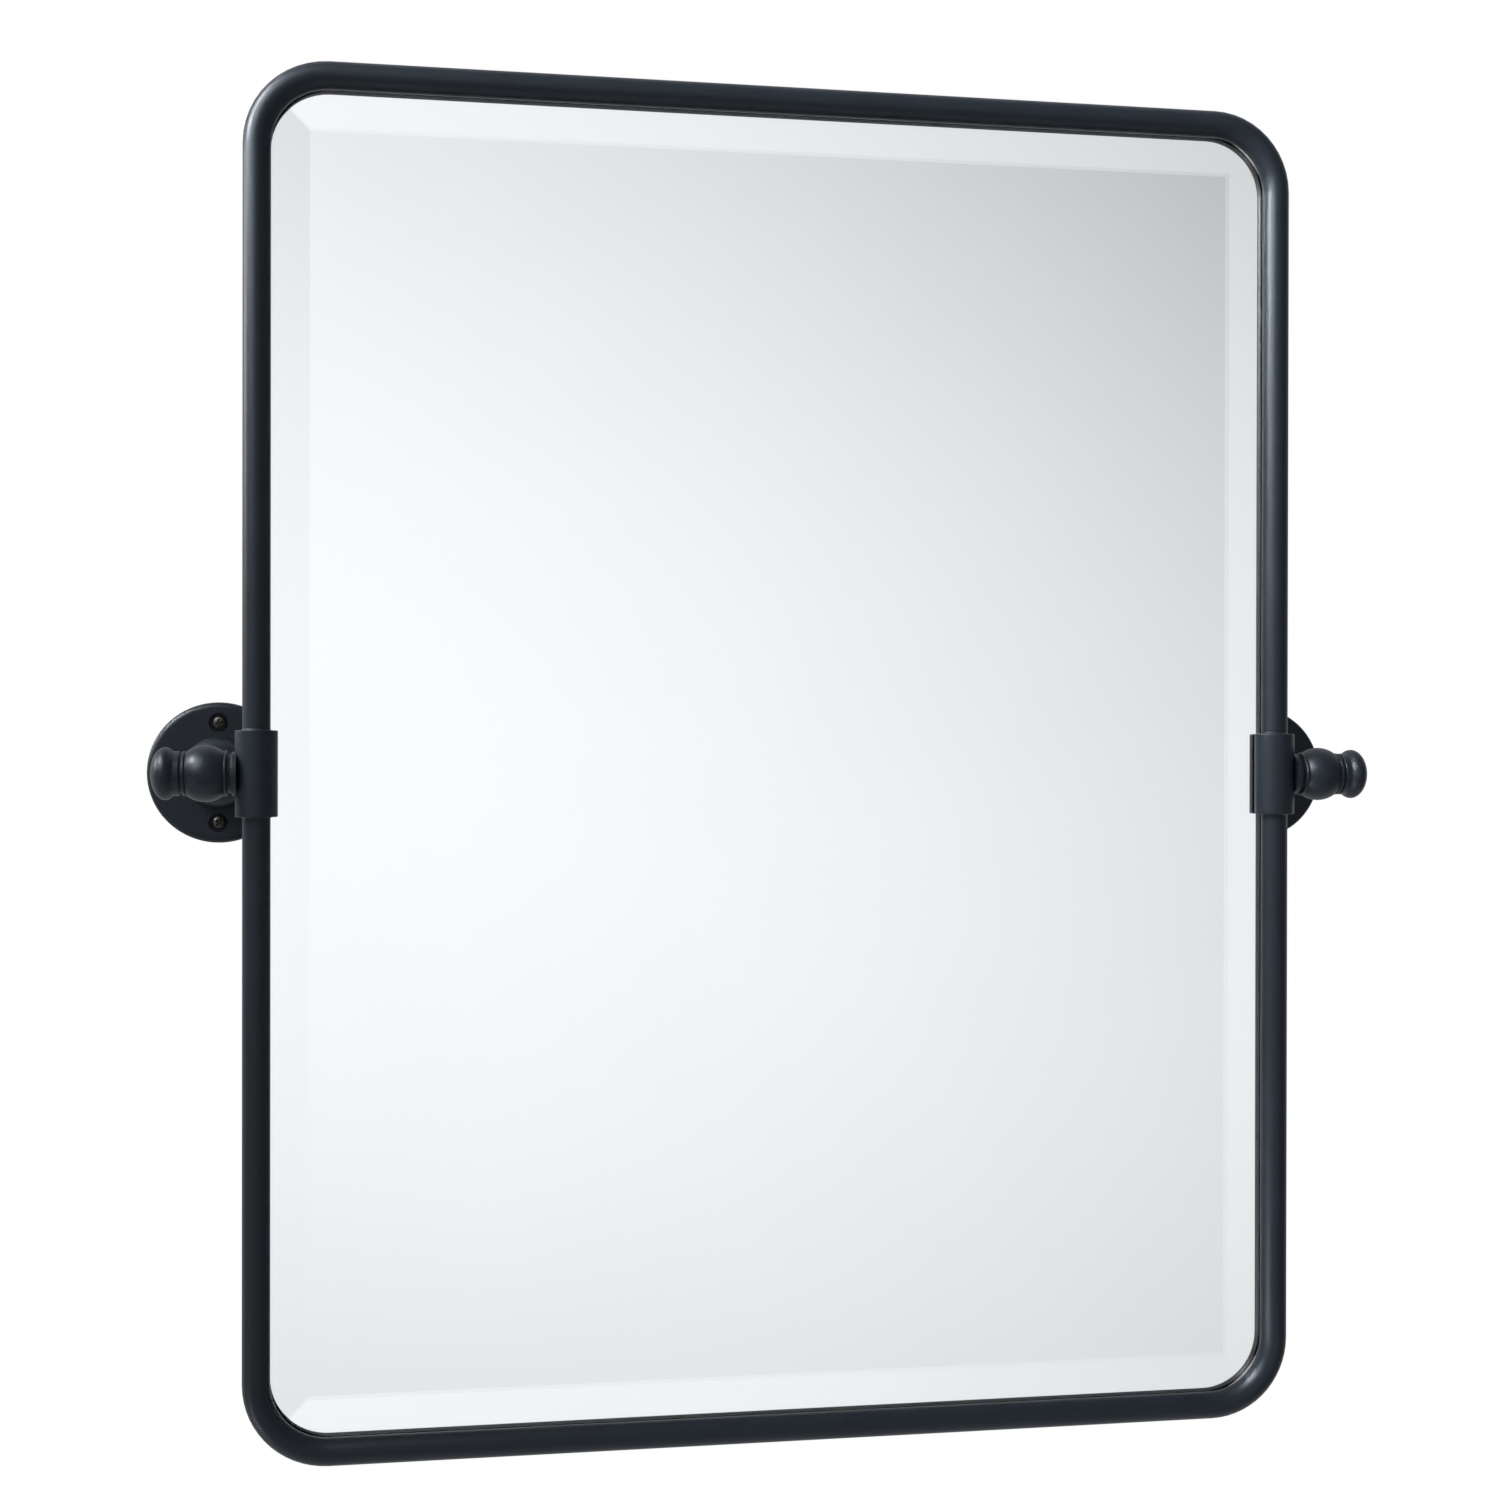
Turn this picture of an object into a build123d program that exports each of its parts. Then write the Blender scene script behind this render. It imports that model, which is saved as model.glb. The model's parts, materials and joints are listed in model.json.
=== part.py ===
# Tilting wall mirror: a bevelled glass in a bent round-tube frame, hung between two wall brackets.
# Millimetres. +Z is up, -Y faces the room and the wall is the plane Y = 0. The origin is on the wall,
# level with the pivot and midway between the brackets. Left and right are the viewer's.
import os

from build123d import *

# Frame of bent tube
frame_width = 478.0
frame_height = 609.6
tube_diameter = 12.0
tube_wall = 1.2
bend_radius = 31.0            # of the tube's centre line
frame_rise = 4.0              # centre of the frame above the pivot
pivot_depth = 70.0            # pivot axis in front of the wall
seam_gap = 0.4                # between the two bent halves, hidden in the sleeves

# Joiner in the tube and sleeve over it, where the halves meet
joiner_length = 56.0
sleeve_diameter = 18.2
sleeve_height = 37.4
sleeve_edge = 0.5

# Edge band round the glass, welded to the back of the tube
band_thickness = 1.2

# Glass, tape and backing board, from the front to the back
glass_tuck = 0.6              # the glass reaches this far behind the tube, past its inner side
glass_front = 1.0             # behind the tube's centre line
glass_thickness = 4.0
glass_edge = 1.8              # thickness left at the foot of the bevel
glass_radius = 27.5           # of the glass's corners
bevel_width = 17.0
tape_thickness = 1.0
tape_width = 25.0
tape_count = 4
tape_margin = 40.0            # from the glass edge to the tape
board_thickness = 5.0

# Retaining tabs on the back and their screws
tab_length = 20.0
tab_width = 16.0
tab_thickness = 1.5
tab_corner = 3.0
tab_screw_inset = 13.0        # from the tab's outer end to its screw
tab_spread_x = 150.0          # tabs on the top and bottom runs, either side of the middle
tab_spread_z = 190.0          # tabs on the side runs, above and below the middle
tab_screw_radius = 1.6
tab_screw_head_radius = 3.5
tab_screw_head_height = 2.0
tab_screw_bite = 4.0          # length in the board
screw_relief = 0.15           # the plain neck of a tab or wall screw is this much under its thread

# Pivot stack, outwards from the tube's centre line
collar_start = 8.0
collar_end = 10.3
collar_radius = 9.5
inner_washer_thickness = 1.7
inner_washer_radius = 8.3
flange_thickness = 1.3
flange_edge = 0.4
inner_flange_radius = 9.9
outer_flange_radius = 9.7
ball_radius = 12.3
ball_half_length = 8.1        # from the ball's centre to each flange
outer_washer_thickness = 0.8
outer_washer_radius = 8.8
shaft_radius = 3.0
shaft_inner_reach = 2.5       # past the tube's centre line, into the joiner
shaft_outer_reach = 9.0       # into the knob
shaft_chamfer = 0.5

# Knob
knob_length = 12.6
knob_radius = 11.4
knob_neck_radius = 9.6
knob_cove = 1.6
knob_edge = 0.4

# Post between the wall plate and the ball
post_foot_radius = 16.5
post_foot_lip = 2.0
post_neck_radius = 7.5
post_curve_length = 20.0      # of the S-curve from foot to neck
post_screw_radius = 3.0
post_screw_head_radius = 5.5
post_screw_length = 20.0
post_screw_socket = 1.7

# Wall plate and its screws
plate_diameter = 65.0
plate_thickness = 6.0
plate_edge = 2.6
wall_screw_spacing = 46.0
wall_screw_radius = 2.0
wall_screw_head_radius = 3.3
wall_screw_head_height = 2.0
wall_screw_length = 32.0
counterbore_radius = 4.6
counterbore_depth = 2.6
screw_slot_width = 0.9
screw_slot_depth = 1.1
screw_tip = 3.0

# Clearances
weld_gap = 0.05               # between pieces that are welded or soldered together
running_gap = 0.05            # between faces and bores that turn on each other
glass_gap = 0.5               # between the glass or board and the edge band
screw_gap = 0.05              # round a screw in its own thread
screw_clearance = 0.25        # round a screw that passes through
notch_gap = 0.4               # round a sleeve: the band is notched for it, and it for the glass
end_gap = 0.5                 # past the end of a screw or shaft in a blind hole

# Sizes that follow from those above
tube_radius = tube_diameter / 2
sleeve_radius = sleeve_diameter / 2
tube_x = frame_width / 2 - tube_radius
tube_top = frame_rise + frame_height / 2 - tube_radius
tube_bottom = frame_rise - frame_height / 2 + tube_radius
pivot_y = -pivot_depth
joiner_radius = tube_radius - tube_wall - weld_gap
shaft_bore = shaft_radius + running_gap

glass_x = tube_x - tube_radius + glass_tuck
glass_z = frame_height / 2 - tube_diameter + glass_tuck
glass_back = glass_front + glass_thickness
bevel_foot = glass_back - glass_edge
bevel_slope = (glass_thickness - glass_edge) / bevel_width
board_front = glass_back + tape_thickness
board_back = board_front + board_thickness

band_inset = band_thickness + glass_gap
band_x = glass_x + band_inset
band_z = glass_z + band_inset
band_radius = glass_radius + band_inset
band_front = (tube_radius**2 - (tube_x - band_x) ** 2) ** 0.5 + weld_gap

sleeve_cut_x = glass_x + notch_gap
sleeve_cut_depth = bevel_foot - bevel_slope * (glass_x - tube_x + sleeve_radius) - notch_gap

inner_flange = collar_end + inner_washer_thickness + running_gap
ball_at = inner_flange + flange_thickness + ball_half_length
outer_flange = ball_at + ball_half_length
outer_washer = outer_flange + flange_thickness + running_gap
knob_base = outer_washer + outer_washer_thickness + running_gap
bracket_x = tube_x + ball_at


def back_plane(depth):
    """Plane parallel to the wall, that far behind the tube's centre line, facing the wall."""
    return Plane(origin=(0, pivot_y + depth, frame_rise), x_dir=(1, 0, 0), z_dir=(0, 1, 0))


def pivot_plane(sign, reach):
    """Plane across the pivot axis, that far outwards from the tube, facing outwards."""
    return Plane(origin=(sign * (tube_x + reach), pivot_y, 0), x_dir=(0, 0, 1), z_dir=(sign, 0, 0))


def bracket_plane(sign, depth, facing):
    """Plane across a bracket, that far in front of the wall, facing it (+1) or the room (-1)."""
    return Plane(origin=(sign * bracket_x, -depth, 0), x_dir=(0, 0, 1), z_dir=(0, facing, 0))


def export(part, name):
    part.label = name
    export_step(part, f"parts/{name}.step")


def make_ring(sign, start, thickness, outer_radius, inner_radius):
    with BuildPart() as ring:
        with BuildSketch(pivot_plane(sign, start)):
            Circle(outer_radius)
            Circle(inner_radius, mode=Mode.SUBTRACT)
        extrude(amount=thickness)
    return ring.part


def make_tube_half(direction, run_z):
    """One U-shaped half of the frame: up (+1) or down (-1) from the seam at the pivot."""
    seam_z = direction * seam_gap / 2
    frame_plane = Plane(origin=(0, pivot_y, 0), x_dir=(1, 0, 0), z_dir=(0, -1, 0))
    with BuildPart() as half:
        with BuildLine(frame_plane) as route:
            FilletPolyline(
                (-tube_x, seam_z),
                (-tube_x, run_z),
                (tube_x, run_z),
                (tube_x, seam_z),
                radius=bend_radius,
            )
        with BuildSketch(Plane(origin=route.line @ 0, z_dir=route.line % 0)):
            Circle(tube_radius)
            Circle(tube_radius - tube_wall, mode=Mode.SUBTRACT)
        sweep()
        # The pivot shafts pass through the outer walls at the seam.
        for sign in (-1, 1):
            with BuildSketch(pivot_plane(sign, 0)):
                Circle(shaft_bore)
            extrude(amount=tube_diameter, mode=Mode.SUBTRACT)
    return half.part


def make_edge_band():
    """Thin band round the edge of the glass and board. Its front edge meets the back of the tube."""
    with BuildPart() as band:
        with BuildSketch(back_plane(band_front)):
            RectangleRounded(2 * band_x, 2 * band_z, band_radius)
            RectangleRounded(
                2 * (band_x - band_thickness),
                2 * (band_z - band_thickness),
                band_radius - band_thickness,
                mode=Mode.SUBTRACT,
            )
        extrude(amount=board_back - band_front)
        with BuildSketch(Plane(origin=(0, pivot_y, -sleeve_height / 2 - notch_gap))):
            with Locations((-tube_x, 0), (tube_x, 0)):
                Circle(sleeve_radius + notch_gap)
        extrude(amount=sleeve_height + 2 * notch_gap, mode=Mode.SUBTRACT)
    return band.part


def make_glass():
    """Glass with rounded corners. Its four bevels are flat and meet in sharp mitres."""
    with BuildPart() as glass:
        with BuildSketch(back_plane(bevel_foot)):
            Rectangle(2 * glass_x, 2 * glass_z)
        with BuildSketch(back_plane(glass_front)):
            Rectangle(2 * (glass_x - bevel_width), 2 * (glass_z - bevel_width))
        loft()
        with BuildSketch(back_plane(bevel_foot)):
            Rectangle(2 * glass_x, 2 * glass_z)
        extrude(amount=glass_edge)
        with BuildSketch(back_plane(glass_front)):
            RectangleRounded(2 * glass_x, 2 * glass_z, glass_radius)
        extrude(amount=glass_thickness, mode=Mode.INTERSECT)
    return glass.part


def make_tape():
    pitch = (2 * (glass_x - tape_margin) - tape_width) / (tape_count - 1)
    with BuildPart() as tape:
        with BuildSketch(back_plane(glass_back)):
            with GridLocations(pitch, 0, tape_count, 1):
                Rectangle(tape_width, 2 * (glass_z - tape_margin))
        extrude(amount=tape_thickness)
    return tape.part


def tab_places():
    """Where the tabs lie on the back of the board: each plane's X runs inwards from the band."""
    back_y = pivot_y + board_back
    places = []
    for sign in (-1, 1):
        for step in (-1, 1):
            side = Plane(
                origin=(sign * band_x, back_y, frame_rise + step * tab_spread_z),
                x_dir=(-sign, 0, 0),
                z_dir=(0, 1, 0),
            )
            run = Plane(
                origin=(step * tab_spread_x, back_y, frame_rise + sign * band_z),
                x_dir=(0, 0, -sign),
                z_dir=(0, 1, 0),
            )
            places += [side, run]
    return places


def make_board():
    """Backing board with blind pilot holes for the tab screws."""
    with BuildPart() as board:
        with BuildSketch(back_plane(board_front)):
            RectangleRounded(2 * glass_x, 2 * glass_z, glass_radius)
        extrude(amount=board_thickness)
        for place in tab_places():
            with BuildSketch(place):
                with Locations((tab_screw_inset, 0)):
                    Circle(tab_screw_radius + screw_gap)
            extrude(amount=-tab_screw_bite - end_gap, mode=Mode.SUBTRACT)
    return board.part


def make_tabs():
    with BuildPart() as tabs:
        for place in tab_places():
            with BuildSketch(place):
                with Locations((tab_length / 2, 0)):
                    RectangleRounded(tab_length, tab_width, tab_corner)
                with Locations((tab_screw_inset, 0)):
                    Circle(tab_screw_radius + screw_clearance, mode=Mode.SUBTRACT)
            extrude(amount=tab_thickness)
    return tabs.part


def make_pan_screw(head_radius, head_height, shank_radius, shank_length, neck_length):
    """Cross-recessed pan-head screw: the head is above Z = 0, the plain neck and pointed thread below."""
    with BuildPart() as screw:
        with BuildSketch():
            Circle(head_radius)
        extrude(amount=head_height)
        fillet(screw.edges().group_by(Axis.Z)[-1], head_height * 0.7)
        with BuildSketch():
            Circle(shank_radius - screw_relief)
        extrude(amount=-neck_length)
        with BuildSketch(Plane.XY.offset(-neck_length)):
            Circle(shank_radius)
        extrude(amount=neck_length + screw_tip - shank_length)
        with BuildSketch(Plane.XY.offset(screw_tip - shank_length)):
            Circle(shank_radius)
        with BuildSketch(Plane.XY.offset(-shank_length)):
            Circle(shank_radius / 5)
        loft()
        with BuildSketch(Plane.XY.offset(head_height)):
            Rectangle(head_radius, screw_slot_width)
            Rectangle(screw_slot_width, head_radius)
        extrude(amount=-screw_slot_depth, mode=Mode.SUBTRACT)
    return screw.part


def make_tab_screws():
    screw = make_pan_screw(
        tab_screw_head_radius,
        tab_screw_head_height,
        tab_screw_radius,
        tab_thickness + tab_screw_bite,
        tab_thickness,
    )
    with BuildPart() as screws:
        for place in tab_places():
            seat = place.offset(tab_thickness)
            seat.origin = seat.from_local_coords((tab_screw_inset, 0, 0))
            with Locations(seat.location):
                add(screw)
    return screws.part


def make_joiner(sign):
    """Solid spigot inside the tube that holds both halves and takes the shaft's inner thread."""
    with BuildPart() as joiner:
        with BuildSketch(Plane(origin=(sign * tube_x, pivot_y, -joiner_length / 2))):
            Circle(joiner_radius)
        extrude(amount=joiner_length)
        chamfer(joiner.edges().filter_by(GeomType.CIRCLE), shaft_chamfer)
        with BuildSketch(pivot_plane(sign, -shaft_inner_reach - end_gap)):
            Circle(shaft_radius + screw_gap)
        extrude(amount=tube_diameter, mode=Mode.SUBTRACT)
    return joiner.part


def make_sleeve(sign):
    """Sleeve over the seam, cut away at the back of its inner side for the edge of the glass."""
    base = Plane(origin=(sign * tube_x, pivot_y, -sleeve_height / 2))
    inwards = Align.MAX if sign > 0 else Align.MIN
    with BuildPart() as sleeve:
        with BuildSketch(base):
            Circle(sleeve_radius)
        extrude(amount=sleeve_height)
        fillet(sleeve.edges().filter_by(GeomType.CIRCLE), sleeve_edge)
        with BuildSketch(base):
            Circle(tube_radius + weld_gap)
            with Locations((sign * (sleeve_cut_x - tube_x), sleeve_cut_depth)):
                Rectangle(sleeve_radius, sleeve_radius, align=(inwards, Align.MIN))
        extrude(amount=sleeve_height, mode=Mode.SUBTRACT)
        with BuildSketch(pivot_plane(sign, 0)):
            Circle(shaft_bore)
        extrude(amount=sleeve_diameter, mode=Mode.SUBTRACT)
    return sleeve.part


def make_collar(sign):
    """Collar whose inner end is coped to the round of the sleeve."""
    with BuildPart() as collar:
        with BuildSketch(pivot_plane(sign, collar_start)):
            Circle(collar_radius)
        extrude(amount=collar_end - collar_start)
        outer_edge = collar.edges().group_by(Axis.X)[-1 if sign > 0 else 0]
        fillet(outer_edge, sleeve_edge)
        with BuildSketch(pivot_plane(sign, collar_start)):
            Circle(shaft_bore)
        extrude(amount=collar_end - collar_start, mode=Mode.SUBTRACT)
        with BuildSketch(Plane(origin=(sign * tube_x, pivot_y, -collar_radius))):
            Circle(sleeve_radius + weld_gap)
        extrude(amount=2 * collar_radius, mode=Mode.SUBTRACT)
    return collar.part


def make_shaft(sign):
    with BuildPart() as shaft:
        with BuildSketch(pivot_plane(sign, -shaft_inner_reach)):
            Circle(shaft_radius)
        extrude(amount=shaft_inner_reach + knob_base + shaft_outer_reach)
        chamfer(shaft.edges().filter_by(GeomType.CIRCLE), shaft_chamfer)
    return shaft.part


def make_knob(sign):
    """Turned knob: a neck that swells into an egg-shaped end, bored for the shaft's thread."""
    half = knob_length / 2
    side_plane = Plane(
        origin=(sign * (tube_x + knob_base), pivot_y, 0), x_dir=(sign, 0, 0), z_dir=(0, -sign, 0)
    )
    with BuildPart() as knob:
        with BuildSketch(side_plane):
            with Locations((half, 0)):
                Ellipse(half, knob_radius)
            with Locations((half / 2, 0)):
                Rectangle(half, 2 * knob_neck_radius)
            with Locations((half, -knob_radius)):
                Rectangle(2 * knob_length, 2 * knob_radius, mode=Mode.SUBTRACT)
        revolve(axis=Axis((0, pivot_y, 0), (1, 0, 0)))
        rims = knob.edges().filter_by(GeomType.CIRCLE).sort_by(Axis.X, reverse=sign < 0)
        fillet(rims[1], knob_cove)
        rims = knob.edges().filter_by(GeomType.CIRCLE).sort_by(Axis.X, reverse=sign < 0)
        fillet(rims[0], knob_edge)
        with BuildSketch(pivot_plane(sign, knob_base)):
            Circle(shaft_radius + screw_gap)
        extrude(amount=shaft_outer_reach + end_gap, mode=Mode.SUBTRACT)
    return knob.part


def make_post(sign):
    """Ball with a turned flange each side, on a neck that swells to a domed foot."""
    span = 2 * (ball_half_length + flange_thickness)
    ball_end = (ball_radius**2 - ball_half_length**2) ** 0.5
    neck_end = -plate_thickness - post_foot_lip - post_curve_length
    middle = ((post_foot_radius + post_neck_radius) / 2, neck_end + post_curve_length / 2)
    pivot_side = Plane(
        origin=(sign * bracket_x, pivot_y, 0), x_dir=(sign, 0, 0), z_dir=(0, -sign, 0)
    )
    with BuildPart() as post:
        with BuildSketch(pivot_side):
            with BuildLine():
                Polyline(
                    (-ball_half_length, ball_end),
                    (-ball_half_length, inner_flange_radius),
                    (-span / 2, inner_flange_radius),
                    (-span / 2, 0),
                    (span / 2, 0),
                    (span / 2, outer_flange_radius),
                    (ball_half_length, outer_flange_radius),
                    (ball_half_length, ball_end),
                )
                ThreePointArc(
                    (-ball_half_length, ball_end), (0, ball_radius), (ball_half_length, ball_end)
                )
            make_face()
        revolve(axis=Axis((0, pivot_y, 0), (1, 0, 0)))
        flange_rims = post.edges().filter_by(
            lambda edge: edge.geom_type == GeomType.CIRCLE and edge.radius > ball_end + weld_gap
        )
        fillet(flange_rims, flange_edge)
        with BuildSketch(Plane(origin=(sign * bracket_x, 0, 0))):
            with BuildLine():
                Polyline(
                    (0, pivot_y),
                    (0, -plate_thickness),
                    (post_foot_radius, -plate_thickness),
                    (post_foot_radius, -plate_thickness - post_foot_lip),
                )
                shoulder = TangentArc(
                    (post_foot_radius, -plate_thickness - post_foot_lip), middle, tangent=(0, -1)
                )
                TangentArc(middle, (post_neck_radius, neck_end), tangent=shoulder % 1)
                Polyline((post_neck_radius, neck_end), (post_neck_radius, pivot_y), (0, pivot_y))
            make_face()
        revolve(axis=Axis((sign * bracket_x, 0, 0), (0, 1, 0)))
        with BuildSketch(pivot_plane(sign, inner_flange)):
            Circle(shaft_bore)
        extrude(amount=span, mode=Mode.SUBTRACT)
        with BuildSketch(bracket_plane(sign, plate_thickness, -1)):
            Circle(post_screw_radius + screw_gap)
        extrude(amount=post_screw_length - plate_thickness + end_gap, mode=Mode.SUBTRACT)
    return post.part


def make_plate(sign):
    """Round wall plate: two counterbored screw holes, and a countersunk one from behind."""
    with BuildPart() as plate:
        with BuildSketch(bracket_plane(sign, 0, -1)):
            Circle(plate_diameter / 2)
        extrude(amount=plate_thickness)
        fillet(plate.edges().group_by(Axis.Y)[0], plate_edge)
        with Locations(bracket_plane(sign, plate_thickness, -1)):
            with GridLocations(wall_screw_spacing, 0, 2, 1):
                CounterBoreHole(
                    wall_screw_radius + screw_clearance, counterbore_radius, counterbore_depth
                )
        with Locations(bracket_plane(sign, 0, 1)):
            CounterSinkHole(
                post_screw_radius + screw_clearance,
                post_screw_head_radius + screw_clearance,
                counter_sink_angle=90,
            )
    return plate.part


def make_post_screw(sign):
    """Flat-head screw from behind the plate into the post, with a hexagon socket."""
    cone_height = post_screw_head_radius - post_screw_radius
    head_plane = bracket_plane(sign, 0, -1)
    with BuildPart() as screw:
        with BuildSketch(head_plane):
            Circle(post_screw_radius)
        extrude(amount=post_screw_length)
        chamfer(screw.edges().filter_by(GeomType.CIRCLE).sort_by(Axis.Y)[0], shaft_chamfer)
        with BuildSketch(head_plane):
            Circle(post_screw_head_radius)
        with BuildSketch(head_plane.offset(cone_height)):
            Circle(post_screw_radius)
        loft()
        with BuildSketch(head_plane):
            RegularPolygon(post_screw_socket, 6)
        extrude(amount=cone_height, mode=Mode.SUBTRACT)
    return screw.part


def make_wall_screws(sign):
    seat_depth = plate_thickness - counterbore_depth
    screw = make_pan_screw(
        wall_screw_head_radius,
        wall_screw_head_height,
        wall_screw_radius,
        wall_screw_length,
        seat_depth,
    )
    with BuildPart() as screws:
        with Locations(bracket_plane(sign, seat_depth, -1)):
            with GridLocations(wall_screw_spacing, 0, 2, 1):
                add(screw)
    return screws.part


os.makedirs("parts", exist_ok=True)

export(make_tube_half(1, tube_top), "upper_tube")
export(make_tube_half(-1, tube_bottom), "lower_tube")
export(make_edge_band(), "edge_band")
export(make_glass(), "mirror_glass")
export(make_tape(), "mounting_tape")
export(make_board(), "backing_board")
export(make_tabs(), "retaining_tabs")
export(make_tab_screws(), "tab_screws")

for side, sign in (("left", -1), ("right", 1)):
    export(make_joiner(sign), f"{side}_joiner")
    export(make_sleeve(sign), f"{side}_sleeve")
    export(make_collar(sign), f"{side}_collar")
    export(make_shaft(sign), f"{side}_shaft")
    export(
        make_ring(sign, collar_end, inner_washer_thickness, inner_washer_radius, shaft_bore),
        f"{side}_inner_washer",
    )
    export(make_post(sign), f"{side}_post")
    export(
        make_ring(sign, outer_washer, outer_washer_thickness, outer_washer_radius, shaft_bore),
        f"{side}_outer_washer",
    )
    export(make_knob(sign), f"{side}_knob")
    export(make_plate(sign), f"{side}_wall_plate")
    export(make_post_screw(sign), f"{side}_post_screw")
    export(make_wall_screws(sign), f"{side}_wall_screws")
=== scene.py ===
import json
import math

import bmesh
import bpy
from mathutils import Matrix, Vector


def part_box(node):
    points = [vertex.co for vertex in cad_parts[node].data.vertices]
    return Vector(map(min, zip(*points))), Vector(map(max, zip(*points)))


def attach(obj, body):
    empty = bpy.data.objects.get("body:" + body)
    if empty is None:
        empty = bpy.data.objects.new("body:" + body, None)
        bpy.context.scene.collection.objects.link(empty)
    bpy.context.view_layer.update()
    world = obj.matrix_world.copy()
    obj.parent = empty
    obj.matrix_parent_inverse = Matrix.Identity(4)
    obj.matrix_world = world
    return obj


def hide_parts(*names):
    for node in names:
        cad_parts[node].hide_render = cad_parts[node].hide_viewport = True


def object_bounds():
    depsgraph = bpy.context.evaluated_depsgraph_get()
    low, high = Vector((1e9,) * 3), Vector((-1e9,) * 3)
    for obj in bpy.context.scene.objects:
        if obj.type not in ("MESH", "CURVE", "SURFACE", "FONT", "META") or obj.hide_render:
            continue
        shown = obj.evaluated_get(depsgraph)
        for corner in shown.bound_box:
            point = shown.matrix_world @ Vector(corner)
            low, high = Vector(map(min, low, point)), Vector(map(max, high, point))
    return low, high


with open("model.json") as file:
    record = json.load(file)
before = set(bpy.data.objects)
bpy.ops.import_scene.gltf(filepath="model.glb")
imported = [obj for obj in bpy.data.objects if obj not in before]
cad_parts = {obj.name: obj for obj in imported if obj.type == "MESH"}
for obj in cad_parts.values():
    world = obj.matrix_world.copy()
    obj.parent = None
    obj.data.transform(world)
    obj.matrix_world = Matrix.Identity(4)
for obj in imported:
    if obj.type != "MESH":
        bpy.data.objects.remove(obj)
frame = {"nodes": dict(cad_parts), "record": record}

bpy.context.view_layer.update()
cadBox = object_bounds()  # size of the CAD model, before anything is added
mm = 0.001

sides = {"left": -1, "right": 1}  # and the way each lies from the middle, along X
slotOf = {part["node"]: part["material_slot"] for part in frame["record"]["subparts"]}
tabSpread = {"x": 150 * mm, "z": 190 * mm}  # of the retaining tabs, either side of the frame's middle


# Colours are written as sRGB hex and turned to linear here, once.
def linear(hexColour):
    channels = [int(hexColour[i:i + 2], 16) / 255 for i in (1, 3, 5)]
    return [c / 12.92 if c <= 0.04045 else ((c + 0.055) / 1.055) ** 2.4 for c in channels] + [1.0]


# Adds one node. Inputs take a number, a colour or another node's output; the rest are its settings.
def addNode(tree, kind, inputs=None, **settings):
    node = tree.nodes.new(kind)
    for name, value in settings.items():
        setattr(node, name, value)
    for name, value in (inputs or {}).items():
        if isinstance(value, bpy.types.NodeSocket):
            tree.links.new(value, node.inputs[name])
        else:
            node.inputs[name].default_value = value
    return node


# An empty material, its node tree, and the place of each point in the piece's own metres.
def startMaterial(name):
    material = bpy.data.materials.new(name)
    material.use_nodes = True
    material.node_tree.nodes.clear()
    place = addNode(material.node_tree, "ShaderNodeTexCoord").outputs["Object"]
    return material, material.node_tree, place


# Polyester powder coat, sprayed on steel and baked: satin blue-black, with a slight orange peel
# from the melt and a fine grit that breaks up the highlights.
def makePowderCoat():
    coat = {
        "dark": "#161B21", "light": "#1C232A",
        "roughness": (0.34, 0.42), "noise": (0.3, 0.7),  # the noise values that the roughness runs between
        "peel": 1.6 * mm, "peelHeight": 0.006 * mm,
        "grit": 0.45 * mm, "gritHeight": 0.004 * mm,  # real grit is near 0.05 mm, drawn coarser to show
        "cloud": 22 * mm,
        "specular": 0.5, "specularTint": "#EAF4FF",  # its highlights are a cool grey
    }
    material, tree, place = startMaterial("polyesterPowderCoat")
    cloud = addNode(tree, "ShaderNodeTexNoise", {"Vector": place, "Scale": 1 / coat["cloud"], "Detail": 4})
    grit = addNode(tree, "ShaderNodeTexNoise", {"Vector": place, "Scale": 1 / coat["grit"], "Detail": 2})
    peel = addNode(tree, "ShaderNodeTexNoise", {"Vector": place, "Scale": 1 / coat["peel"], "Detail": 1})
    tone = addNode(
        tree, "ShaderNodeMix",
        {"Factor": cloud.outputs["Fac"], "A": linear(coat["dark"]), "B": linear(coat["light"])},
        data_type="RGBA",
    )
    rough = addNode(
        tree, "ShaderNodeMapRange",
        {"Value": grit.outputs["Fac"], "From Min": coat["noise"][0], "From Max": coat["noise"][1],
         "To Min": coat["roughness"][0], "To Max": coat["roughness"][1]},
    )
    peelBump = addNode(
        tree, "ShaderNodeBump", {"Height": peel.outputs["Fac"], "Distance": coat["peelHeight"]}
    )
    gritBump = addNode(
        tree, "ShaderNodeBump",
        {"Height": grit.outputs["Fac"], "Distance": coat["gritHeight"], "Normal": peelBump.outputs["Normal"]},
    )
    shader = addNode(
        tree, "ShaderNodeBsdfPrincipled",
        {"Base Color": tone.outputs["Result"], "Roughness": rough.outputs["Result"],
         "Specular IOR Level": coat["specular"], "Specular Tint": linear(coat["specularTint"]),
         "Normal": gritBump.outputs["Normal"]},
    )
    addNode(tree, "ShaderNodeOutputMaterial", {"Surface": shader.outputs["BSDF"]})
    return material


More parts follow.
